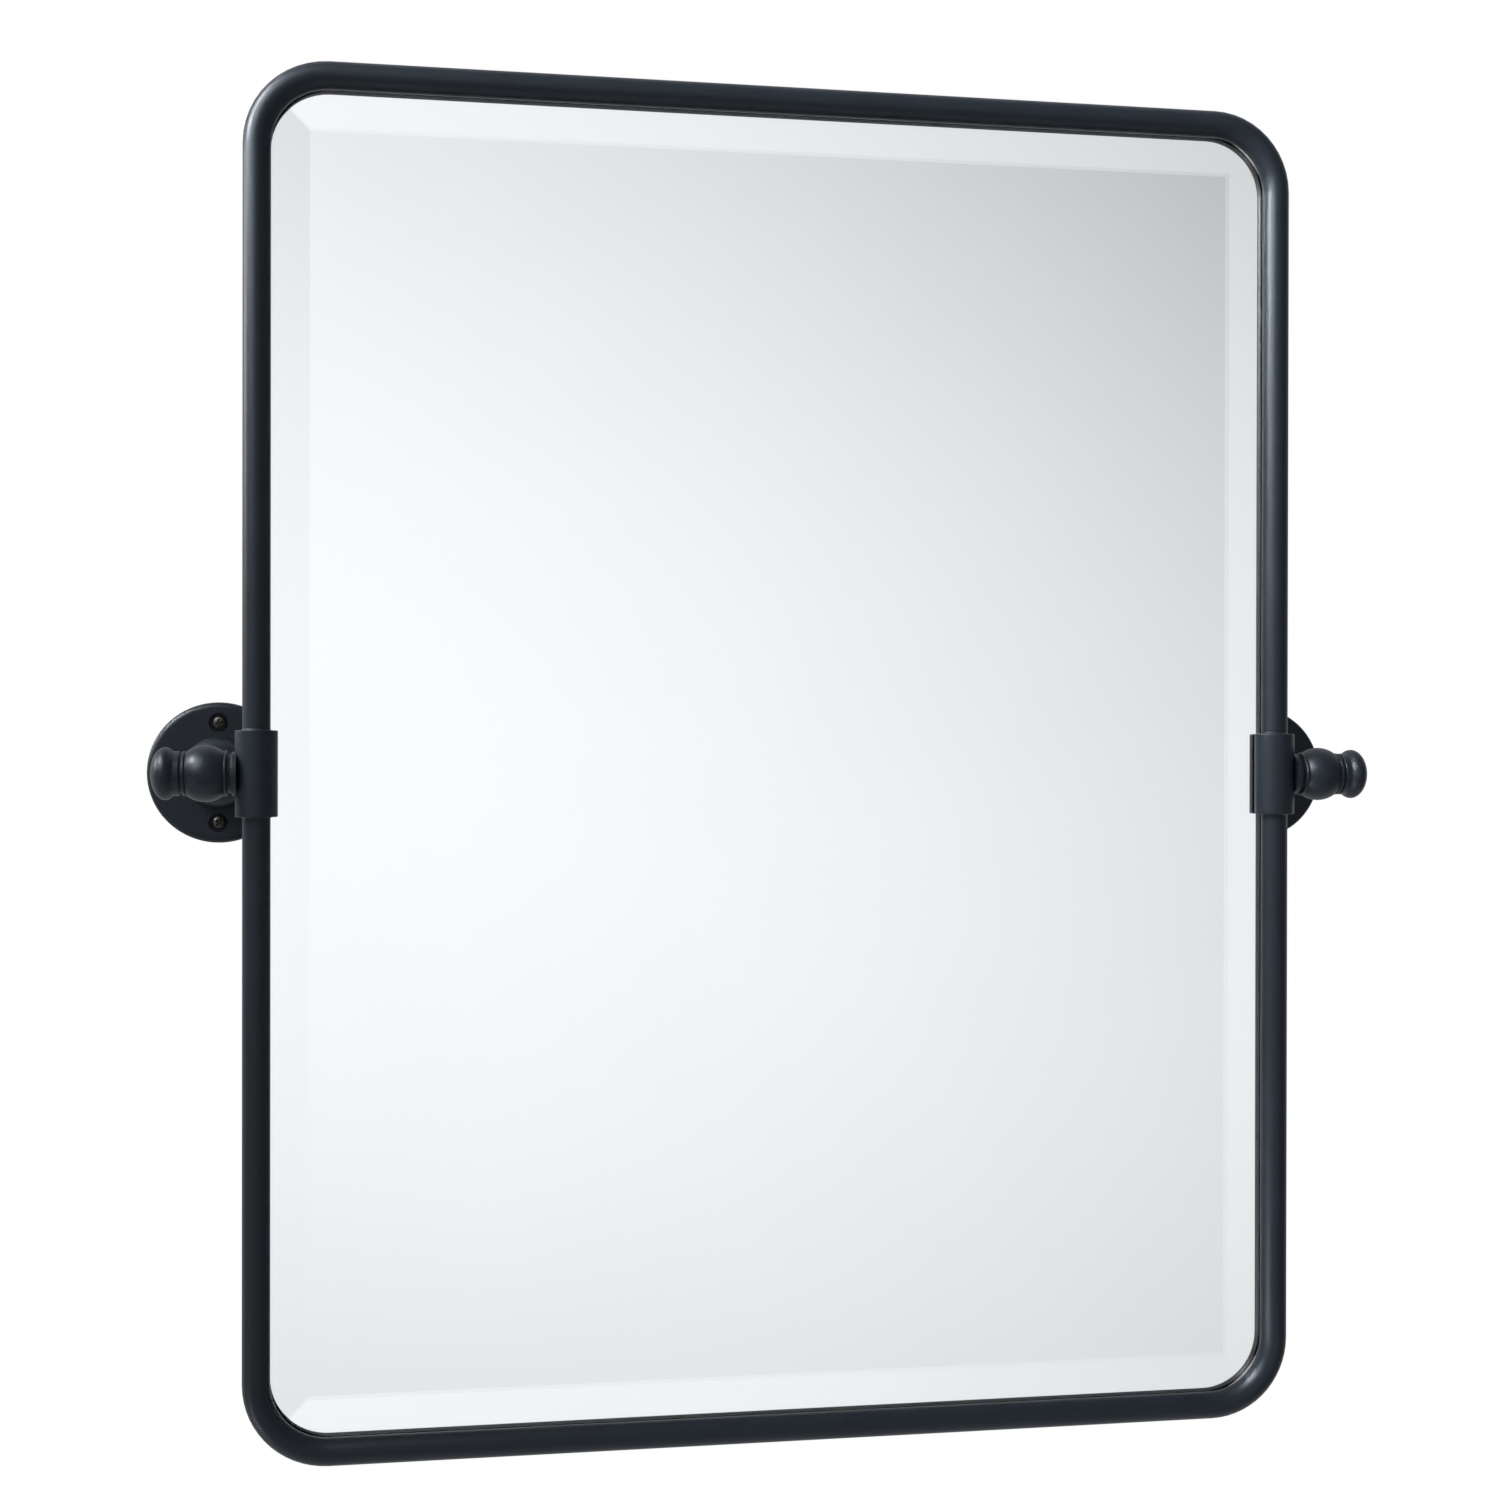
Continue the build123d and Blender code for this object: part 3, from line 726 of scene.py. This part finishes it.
# One weld bead along a line, laid in ripples, that rounds down at its ends.
def makeBead(name, start, end, radius, lift):
    bead = {
        "ripple": 1.7 * mm, "rippleHeight": 0.09, "ripplePeak": 0.6,  # below 1 it is broad-topped
        "endReach": 1.2, "endRadius": 0.08,  # shares of the bead's radius
        "segments": 14, "ringsPerRipple": 6, "leastRings": 12,
    }
    along = end - start
    length = along.length
    along.normalize()
    across = along.cross(lift).normalized()
    rings = []
    count = max(bead["leastRings"], round(length / bead["ripple"] * bead["ringsPerRipple"]))
    for step in range(count + 1):
        share = step / count
        nearEnd = min(1, min(share, 1 - share) * length / (radius * bead["endReach"]))
        rounding = max(bead["endRadius"], (1 - (1 - nearEnd) ** 2) ** 0.5)
        inRipple = (share * length / bead["ripple"]) % 1
        swell = 1 + bead["rippleHeight"] * math.sin(math.pi * inRipple) ** bead["ripplePeak"]
        wide = radius * rounding * swell
        middle = start + along * (share * length)
        rings.append([
            middle + lift * (wide * math.cos(math.tau * i / bead["segments"]))
            + across * (wide * math.sin(math.tau * i / bead["segments"]))
            for i in range(bead["segments"])
        ])
    shape = bmesh.new()
    skinRings(shape, rings)
    addPiece(name, shape, [powderCoat], "mirror", crease=60)


# Short beads in the corner behind the tube, where the edge band is held, and across the foot of each tab.
def makeWeldBeads():
    weld = {
        "length": 18 * mm, "radius": 1.3 * mm,
        "behind": 6.1 * mm, "outside": 0.9 * mm,  # behind the tube's centre line, outside the band
        "sideSpots": (-250, -110, 110, 250), "runSpots": (-90, 0, 90),  # mm from the middle of the frame
        "tabLength": 11 * mm, "tabRadius": 0.75 * mm,
    }
    tubeLow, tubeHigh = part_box("upper_tube")
    bandLow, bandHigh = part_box("edge_band")
    middle = (bandLow + bandHigh) / 2
    reach = (bandHigh - bandLow) / 2
    weldY = (tubeLow.y + tubeHigh.y) / 2 + weld["behind"]
    back = Vector((0, 1, 0))
    upright = Vector((0, 0, 1))
    level = Vector((1, 0, 0))

    def layBead(name, x, y, z, along, length, radius):
        at = Vector((middle.x + x, y, middle.z + z))
        makeBead(name, at - along * length / 2, at + along * length / 2, radius, back)

    for side, sign in sides.items():
        outX = sign * (reach.x + weld["outside"])
        outZ = sign * (reach.z + weld["outside"])
        for number, spot in enumerate(weld["sideSpots"], start=1):
            layBead(
                f"{side}_weld_{number}", outX, weldY, spot * mm,
                upright, weld["length"], weld["radius"],
            )
        run = {"left": "bottom", "right": "top"}[side]  # the left's sign is also the way down
        for number, spot in enumerate(weld["runSpots"], start=1):
            layBead(
                f"{run}_weld_{number}", spot * mm, weldY, outZ,
                level, weld["length"], weld["radius"],
            )
        for number, way in enumerate((-1, 1), start=1):
            layBead(
                f"{side}_tab_weld_{number}", sign * reach.x, bandHigh.y, way * tabSpread["z"],
                upright, weld["tabLength"], weld["tabRadius"],
            )
            layBead(
                f"{run}_tab_weld_{number}", way * tabSpread["x"], bandHigh.y, sign * reach.z,
                level, weld["tabLength"], weld["tabRadius"],
            )


makeWeldBeads()
print("weld beads")


# A round pale floor well below the mirror, whose rim fades out. It only takes the soft shadow.
def makeFloor():
    floor = {
        "dark": "#F1F1F0", "light": "#F4F4F3", "grain": 30 * mm, "roughness": 0.9, "segments": 96,
        "radius": 2.0, "drop": 0.9, "forward": 0.1,  # metres, below the mirror and in front of the wall
        "fade": (0.9, 1.96), "veil": 0.4,  # metres from its middle, and how clear it is there
    }
    material, tree, place = startMaterial("sweptPaperFloor")
    grain = addNode(tree, "ShaderNodeTexNoise", {"Vector": place, "Scale": 1 / floor["grain"], "Detail": 3})
    tone = addNode(
        tree, "ShaderNodeMix",
        {"Factor": grain.outputs["Fac"], "A": linear(floor["dark"]), "B": linear(floor["light"])},
        data_type="RGBA",
    )
    paper = addNode(
        tree, "ShaderNodeBsdfPrincipled",
        {"Base Color": tone.outputs["Result"], "Roughness": floor["roughness"]},
    )
    reach = addNode(tree, "ShaderNodeVectorMath", {0: place}, operation="LENGTH")
    fade = addNode(
        tree, "ShaderNodeMapRange",
        {"Value": reach.outputs["Value"], "From Min": floor["fade"][0], "From Max": floor["fade"][1],
         "To Min": floor["veil"]},
        interpolation_type="SMOOTHSTEP",
    )
    clear = addNode(tree, "ShaderNodeBsdfTransparent")
    mixed = addNode(
        tree, "ShaderNodeMixShader",
        {0: fade.outputs["Result"], 1: paper.outputs["BSDF"], 2: clear.outputs["BSDF"]},
    )
    addNode(tree, "ShaderNodeOutputMaterial", {"Surface": mixed.outputs["Shader"]})
    shape = bmesh.new()
    bmesh.ops.create_circle(shape, cap_ends=True, segments=floor["segments"], radius=floor["radius"])
    mesh = bpy.data.meshes.new("floor")
    shape.to_mesh(mesh)
    shape.free()
    mesh.materials.append(material)
    disc = bpy.data.objects.new("floor", mesh)
    disc.location = (0, -floor["forward"], cadBox[0].z - floor["drop"])
    bpy.context.scene.collection.objects.link(disc)


# The room is white behind the mirror. In front it is dim, with one broad tilted glow almost level with the
# mirror and a little to the left. The glass sees all of that, the shine of coat and metal sees a share, dull
# surfaces get an even fill, and the camera itself sees white.
def makeRoom():
    room = {
        "white": 1.0, "whiteFrom": (-0.15, 0.35),  # where front turns to back, as a direction's Y
        "fill": 0.42, "fillTint": "#FFFFFF",
        "glowPeak": 1.085, "glowTint": "#FDFCFE", "dim": 0.46, "dimBlend": 0.12,
        "glowCentre": (-0.106, 0.038), "glowReach": (1.064, 0.649), "glowTilt": -24.7,
        "glowDepth": 1000,  # so long that a direction's depth doesn't count
        "glowShare": 0.28, "whiteShare": 0.5,  # what coat and bare metal see of the glow and of the white
    }
    world = bpy.data.worlds.new("studio")
    bpy.context.scene.world = world
    world.use_nodes = True
    tree = world.node_tree
    tree.nodes.clear()
    direction = addNode(tree, "ShaderNodeTexCoord").outputs["Generated"]
    # How far a direction is from the glow's centre, in glow radii.
    centred = addNode(
        tree, "ShaderNodeMapping",
        {"Vector": direction, "Location": (room["glowCentre"][0], 0, room["glowCentre"][1]),
         "Rotation": (0, math.radians(-room["glowTilt"]), 0),
         "Scale": (room["glowReach"][0], room["glowDepth"], room["glowReach"][1])},
        vector_type="TEXTURE",
    )
    away = addNode(
        tree, "ShaderNodeVectorMath",
        {0: centred.outputs["Vector"], 1: centred.outputs["Vector"]}, operation="DOT_PRODUCT",
    )
    falling = addNode(
        tree, "ShaderNodeMath", {0: room["glowPeak"], 1: away.outputs["Value"]}, operation="SUBTRACT"
    )
    front = addNode(
        tree, "ShaderNodeMath", {0: falling.outputs["Value"], 1: room["dim"], 2: room["dimBlend"]},
        operation="SMOOTH_MAX",
    )
    split = addNode(tree, "ShaderNodeSeparateXYZ", {"Vector": direction})
    behind = addNode(
        tree, "ShaderNodeMapRange",
        {"Value": split.outputs["Y"], "From Min": room["whiteFrom"][0], "From Max": room["whiteFrom"][1]},
        interpolation_type="SMOOTHSTEP",
    )
    path = addNode(tree, "ShaderNodeLightPath")
    share = addNode(
        tree, "ShaderNodeMapRange",
        {"Value": path.outputs["Is Transmission Ray"], "To Min": room["glowShare"], "To Max": 1.0},
    )
    dimmed = addNode(
        tree, "ShaderNodeMath", {0: front.outputs["Value"], 1: share.outputs["Result"]}, operation="MULTIPLY"
    )
    whiteSeen = addNode(
        tree, "ShaderNodeMapRange",
        {"Value": path.outputs["Is Transmission Ray"], "To Min": room["whiteShare"], "To Max": room["white"]},
    )
    seen = addNode(
        tree, "ShaderNodeMix",
        {"Factor": behind.outputs["Result"], "A": dimmed.outputs["Value"], "B": whiteSeen.outputs["Result"]},
    )
    sharp = addNode(
        tree, "ShaderNodeMath",
        {0: path.outputs["Is Glossy Ray"], 1: path.outputs["Is Transmission Ray"]}, operation="MAXIMUM",
    )
    lit = addNode(
        tree, "ShaderNodeMix",
        {"Factor": sharp.outputs["Value"], "A": room["fill"], "B": seen.outputs["Result"]},
    )
    strength = addNode(
        tree, "ShaderNodeMix",
        {"Factor": path.outputs["Is Camera Ray"], "A": lit.outputs["Result"], "B": room["white"]},
    )
    tint = addNode(
        tree, "ShaderNodeMix",
        {"Factor": sharp.outputs["Value"], "A": linear(room["fillTint"]), "B": linear(room["glowTint"])},
        data_type="RGBA",
    )
    background = addNode(
        tree, "ShaderNodeBackground",
        {"Color": tint.outputs["Result"], "Strength": strength.outputs["Result"]},
    )
    addNode(tree, "ShaderNodeOutputWorld", {"Surface": background.outputs["Background"]})


# Softboxes, each given by where it stands round the middle of the mirror: degrees to the left of straight
# in front, degrees up and metres away, then its width and height in metres and its watts. One with a grid
# on it stands round a point of the mirror instead, metres to the right of the middle and above it, and has
# the spread of its beam in degrees.
def makeLamps():
    lamps = {
        "keySoftbox": {"left": 50, "up": 35, "distance": 1.6, "size": (0.85, 0.9), "power": 12},
        "stripSoftbox": {"left": 100, "up": 18, "distance": 1.6, "size": (0.7, 0.4), "power": 6.8},
        "windowSoftbox": {"left": 84, "up": 50, "distance": 1.6, "size": (1.0, 0.55), "power": 1.2},
        "griddedSoftbox": {
            "left": 78, "up": 24, "distance": 1.6, "size": (0.5, 0.4), "power": 1.2,
            "aim": (0.25, 0.25), "spread": 20,
        },
        "griddedSpot": {
            "left": 44, "up": 28, "distance": 1.6, "size": (0.4, 0.4), "power": 0.35,
            "aim": (0.25, 0.25), "spread": 20,
        },
        "lowReflector": {"left": 60, "up": -30, "distance": 1.6, "size": (0.8, 0.4), "power": 0.6},
        "griddedLowSpot": {
            "left": 70, "up": -30, "distance": 1.2, "size": (0.4, 0.3), "power": 0.45,
            "aim": (0.15, -0.38), "spread": 24,
        },
        "griddedBendSpot": {
            "left": 75, "up": 45, "distance": 1.6, "size": (0.5, 0.4), "power": 0.5,
            "aim": (0.22, -0.3), "spread": 18,
        },
    }
    centre = (cadBox[0] + cadBox[1]) / 2
    for name, lamp in lamps.items():
        left, up = math.radians(lamp["left"]), math.radians(lamp["up"])
        away = Vector((-math.sin(left) * math.cos(up), -math.cos(left) * math.cos(up), math.sin(up)))
        data = bpy.data.lights.new(name, "AREA")
        data.shape = "RECTANGLE"
        data.size, data.size_y = lamp["size"]
        data.energy = lamp["power"]
        data.spread = math.radians(lamp.get("spread", 180))  # 180 is no grid
        light = bpy.data.objects.new(name, data)
        aimX, aimZ = lamp.get("aim", (0, 0))
        light.location = centre + Vector((aimX, 0, aimZ)) + away * lamp["distance"]
        light.rotation_mode = "QUATERNION"
        light.rotation_quaternion = away.to_track_quat("Z", "Y")
        bpy.context.scene.collection.objects.link(light)


# The camera stands to the left of the mirror, level with it, and is turned a little to the right.
def makeCamera():
    view = {
        "left": 170.1 * mm, "out": 884.9 * mm, "up": 2.75 * mm,  # from the middle of the tube frame
        "turn": 9.228, "nod": -0.186, "roll": 0.087,
        "lens": 47.98, "sensor": 36, "shift": (0.01417, 0.01014),
    }
    low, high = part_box("upper_tube")
    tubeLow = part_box("lower_tube")[0]
    middle = Vector(((low.x + high.x) / 2, (low.y + high.y) / 2, (high.z + tubeLow.z) / 2))
    data = bpy.data.cameras.new("camera")
    data.sensor_width = view["sensor"]
    data.lens = view["lens"]
    data.shift_x, data.shift_y = view["shift"]
    camera = bpy.data.objects.new("camera", data)
    camera.location = middle + Vector((-view["left"], -view["out"], view["up"]))
    turn = Matrix.Rotation(math.radians(-view["turn"]), 3, "Z")
    nod = Matrix.Rotation(math.radians(90 + view["nod"]), 3, "X")
    roll = Matrix.Rotation(math.radians(view["roll"]), 3, "Z")
    camera.rotation_mode = "QUATERNION"
    camera.rotation_quaternion = (turn @ nod @ roll).to_quaternion()
    bpy.context.scene.collection.objects.link(camera)
    bpy.context.scene.camera = camera


makeFloor()
makeRoom()
makeLamps()
makeCamera()
bpy.context.scene.view_settings.view_transform = "Standard"
print("stage, light and camera")
